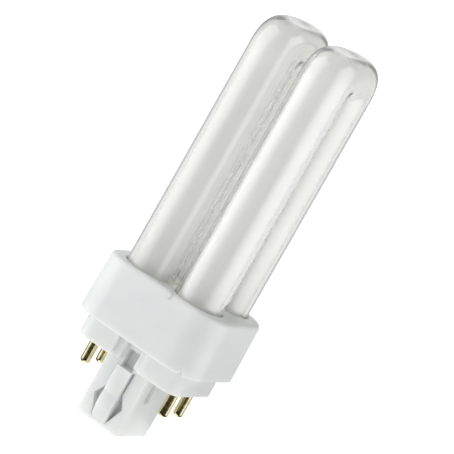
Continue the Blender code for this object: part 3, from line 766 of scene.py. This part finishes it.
def opal_glass():
    """Glass with the powder right behind it, at the bridge and the seals."""
    made, tree, shader = new_finish("opal_glass", 0.25, coat_weight=1.0, coat_roughness=0.03)
    patches = noise(tree, object_place(tree), scale=700.0, detail=3.0)
    colour = colour_mix(tree, spread(tree, patches, 0.3, 0.7), OPAL_LIGHT, OPAL_DARK)
    tree.links.new(colour, shader.inputs["Base Color"])
    bump(tree, shader, patches, distance=0.02 * MM, strength=0.4)
    return made


def brass():
    """Turned brass: fine rings round the pin, darker tarnish in patches."""
    made, tree, shader = new_finish("turned_brass", 0.18, metallic=1.0)
    rings = noise(tree, object_place(tree, (0.05, 0.05, 1.0)), scale=3200.0)
    tarnish = noise(tree, object_place(tree), scale=900.0, detail=3.0)
    colour = colour_mix(tree, spread(tree, tarnish, 0.45, 0.75), BRASS_BRIGHT, BRASS_TARNISH)
    tree.links.new(colour, shader.inputs["Base Color"])
    tree.links.new(spread(tree, rings, 0.3, 0.7, start=0.10, end=0.22), shader.inputs["Roughness"])
    bump(tree, shader, rings, distance=0.01 * MM, strength=0.4)
    return made


def speckled(name, colour, second, roughness, scale, metallic=0.0):
    """A matt or metal surface with a speckled colour, for the cement and the wires."""
    made, tree, shader = new_finish(name, roughness, metallic=metallic)
    specks = noise(tree, object_place(tree), scale, detail=4.0)
    mixed = colour_mix(tree, spread(tree, specks, 0.35, 0.65), colour, second)
    gloss = spread(tree, specks, 0.3, 0.7, start=roughness, end=roughness * 0.8)
    tree.links.new(mixed, shader.inputs["Base Color"])
    tree.links.new(gloss, shader.inputs["Roughness"])
    bump(tree, shader, specks, distance=0.05 * MM, strength=0.6)
    return made


# Studio

def direction(azimuth, elevation):
    """The unit vector from the lamp towards a place round it; azimuth 0 is the front, -Y."""
    flat = math.cos(elevation)
    return Vector((math.sin(azimuth) * flat, -math.cos(azimuth) * flat, math.sin(elevation)))


def add_camera():
    """The photograph's camera: placed by its direction and distance, then rolled."""
    data = bpy.data.cameras.new("photo_camera")
    data.sensor_width = SENSOR
    data.lens = LENS_PIXELS / PHOTO_PIXELS * SENSOR
    data.shift_x = -PHOTO_OFFSET[0] / PHOTO_PIXELS
    data.shift_y = PHOTO_OFFSET[1] / PHOTO_PIXELS
    data.clip_end = VIEW_LIMIT
    back = direction(VIEW_AZIMUTH, VIEW_ELEVATION)
    right = Vector((math.cos(VIEW_AZIMUTH), math.sin(VIEW_AZIMUTH), 0.0))
    up = back.cross(right)
    across = right * math.cos(VIEW_ROLL) + up * math.sin(VIEW_ROLL)
    axes = Matrix((across, back.cross(across), back)).transposed()
    camera = placed("photo_camera", data)
    camera.matrix_world = Matrix.Translation(VIEW_AIM + back * VIEW_DISTANCE) @ axes.to_4x4()
    bpy.context.scene.camera = camera


def seen_directly(tree):
    """1 for camera, mirror and see-through rays, 0 for the rays that light a matt surface."""
    path = node(tree, "ShaderNodeLightPath").outputs
    seen = combine(tree, "MAXIMUM", path["Is Camera Ray"], path["Is Glossy Ray"])
    return combine(tree, "MAXIMUM", seen, path["Is Transmission Ray"])


def add_floor():
    """A plain floor that shows as white and keeps the lamp's soft shadow."""
    made, tree, shader = new_finish("studio_floor", FLOOR_ROUGHNESS, base_color=FLOOR_GREY)
    shader.inputs["Specular IOR Level"].default_value = 0.0
    strength = spread(tree, seen_directly(tree), 0, 1, FLOOR_LIGHT, FLOOR_SEEN)
    glow = node(tree, "ShaderNodeEmission", {"Strength": strength})
    parts = {0: shader.outputs["BSDF"], 1: glow.outputs[0]}
    show(tree, node(tree, "ShaderNodeAddShader", parts))
    corners = [(FLOOR_REACH * x, FLOOR_REACH * y, 0) for x, y in ((-1, -1), (1, -1), (1, 1), (-1, 1))]
    mesh = bpy.data.meshes.new("studio_floor")
    mesh.from_pydata(corners, [], [(0, 1, 2, 3)])
    mesh.materials.append(made)
    floor = placed("studio_floor", mesh)


def add_world():
    """White where it is seen, and a plain soft grey where it lights the lamp, both darker overhead."""
    world = bpy.data.worlds.new("studio")
    world.use_nodes = True
    bpy.context.scene.world = world
    tree = world.node_tree
    place = node(tree, "ShaderNodeTexCoord").outputs["Generated"]
    height = node(tree, "ShaderNodeSeparateXYZ", {0: place}).outputs["Z"]
    level = spread(tree, seen_directly(tree), 0, 1, WORLD_LIGHT, WORLD_SEEN)
    left_over = spread(tree, height, *OVERHEAD_RISE, start=1.0, end=OVERHEAD_LIGHT)
    background = tree.nodes["Background"]
    feed(tree, background.inputs["Strength"], combine(tree, "MULTIPLY", level, left_over))
    feed(tree, background.inputs["Color"], (1.0, 1.0, 1.0))


def tent_finish():
    """The tent's glow: its seen_through level through glass, and its mirrored level in gloss."""
    made = bpy.data.materials.new("reflection_tent")
    made.use_nodes = True
    tree = made.node_tree
    tree.nodes.remove(tree.nodes["Principled BSDF"])
    mirrored = node(tree, "ShaderNodeAttribute", attribute_name="mirrored").outputs["Fac"]
    seen_through = node(tree, "ShaderNodeAttribute", attribute_name="seen_through").outputs["Fac"]
    through = node(tree, "ShaderNodeLightPath").outputs["Is Transmission Ray"]
    strength = node(tree, "ShaderNodeMix", {0: through, 2: mirrored, 3: seen_through}).outputs[0]
    show(tree, node(tree, "ShaderNodeEmission", {"Strength": strength}))
    return made


def hump(angle, rise, fall):
    """A smooth rise from 0 to 1, and a smooth fall back to 0."""
    return smooth_rise(angle, *rise) * (1 - smooth_rise(angle, *fall))


def add_reflection_tent():
    """A round tent that only the lamp's gloss and glass show.

    Round the camera it is dim. To the left and right it has a bright soft box. Past those it
    is grey with a darker line, which draws the glass's edges, and behind the lamp it is white.
    On the floor close to the lamp it has a band at both sides, which the pins mirror, and is
    white where it is seen through the glass.
    """
    angle = np.linspace(-180, 180, TENT_SIDES, endpoint=False)
    apart = np.abs(angle)
    side = smooth_rise(apart, *TENT_SIDE_RISE)
    back = smooth_rise(apart, *TENT_BACK_RISE)
    plain = TENT_FRONT + (TENT_SIDE - TENT_FRONT) * side + (1 - TENT_SIDE) * back
    left = LEFT_BOX * hump(-angle, LEFT_BOX_RISE, LEFT_BOX_FALL)
    right = RIGHT_BOX * hump(angle, RIGHT_BOX_RISE, RIGHT_BOX_FALL)
    far = plain - TENT_LINE * hump(apart, TENT_LINE_RISE, TENT_LINE_FALL) + left + right
    near = NEAR_REST + NEAR_BAND * hump(apart, NEAR_BAND_RISE, NEAR_BAND_FALL)
    turn = np.radians(angle) + VIEW_AZIMUTH
    columns = (np.array(column)[:, None] for column in zip(*TENT_SECTION))
    radius, height, near_share, far_share, white_share = columns
    x, y = radius * np.sin(turn), -radius * np.cos(turn)
    rings = np.stack(np.broadcast_arrays(x, y, height), axis=-1)
    points, faces = ring_faces(rings)
    mesh = bpy.data.meshes.new("reflection_tent")
    mesh.from_pydata(points.tolist(), [], faces[:-2])  # the tent has no flat face at either end
    levels = {
        "mirrored": near_share * near + far_share * far,
        "seen_through": white_share + far_share * far,
    }
    for name, level in levels.items():
        mesh.attributes.new(name, "FLOAT", "POINT").data.foreach_set("value", level.ravel())
    mesh.materials.append(tent_finish())
    tent = placed("reflection_tent", mesh)
    tent.visible_camera = tent.visible_diffuse = tent.visible_shadow = False


def soft_fill(name, turn, distance, size, brightness):
    """An upright square soft light on the floor that faces the lamp, for its matt light only.

    turn is in degrees to the right of the camera. Its power is brightness times pi times its area.
    """
    data = bpy.data.lights.new(name, "AREA")
    data.size = size
    data.energy = brightness * math.pi * size * size
    away = direction(VIEW_AZIMUTH + math.radians(turn), 0.0)
    fill = placed(name, data)
    fill.location = away * distance + Vector((0.0, 0.0, size / 2))
    fill.rotation_euler = away.to_track_quat("Z", "Y").to_euler()
    fill.visible_camera = fill.visible_transmission = fill.visible_glossy = False


MOULDED_SKIN = moulded_skin()
WHITE_MOULDING = moulding("white_moulding", COLLAR_WHITE, COLLAR_CLOUD, gloss_low=0.30, gloss_high=0.42)
BASE_MOULDING = moulding("base_moulding", BASE_WHITE, BASE_CLOUD, gloss_low=0.34, gloss_high=0.48)
CLEAR_GLASS = clear_glass()
POWDER_COAT = powder_coat()
OPAL_GLASS = opal_glass()
BRASS = brass()
CEMENT = speckled("seat_cement", CEMENT_LIGHT, CEMENT_DARK, roughness=0.9, scale=1500.0)
WIRE = speckled("nickel_wire", NICKEL_LIGHT, NICKEL_DARK, roughness=0.4, scale=2500.0, metallic=1.0)

glass_pieces()
collar_piece()
pin_base_piece()
contact_pins()
inner_pieces()

add_camera()
add_floor()
add_world()
add_reflection_tent()
for fill_values in FILLS:
    soft_fill(*fill_values)
bpy.context.scene.view_settings.view_transform = "Standard"
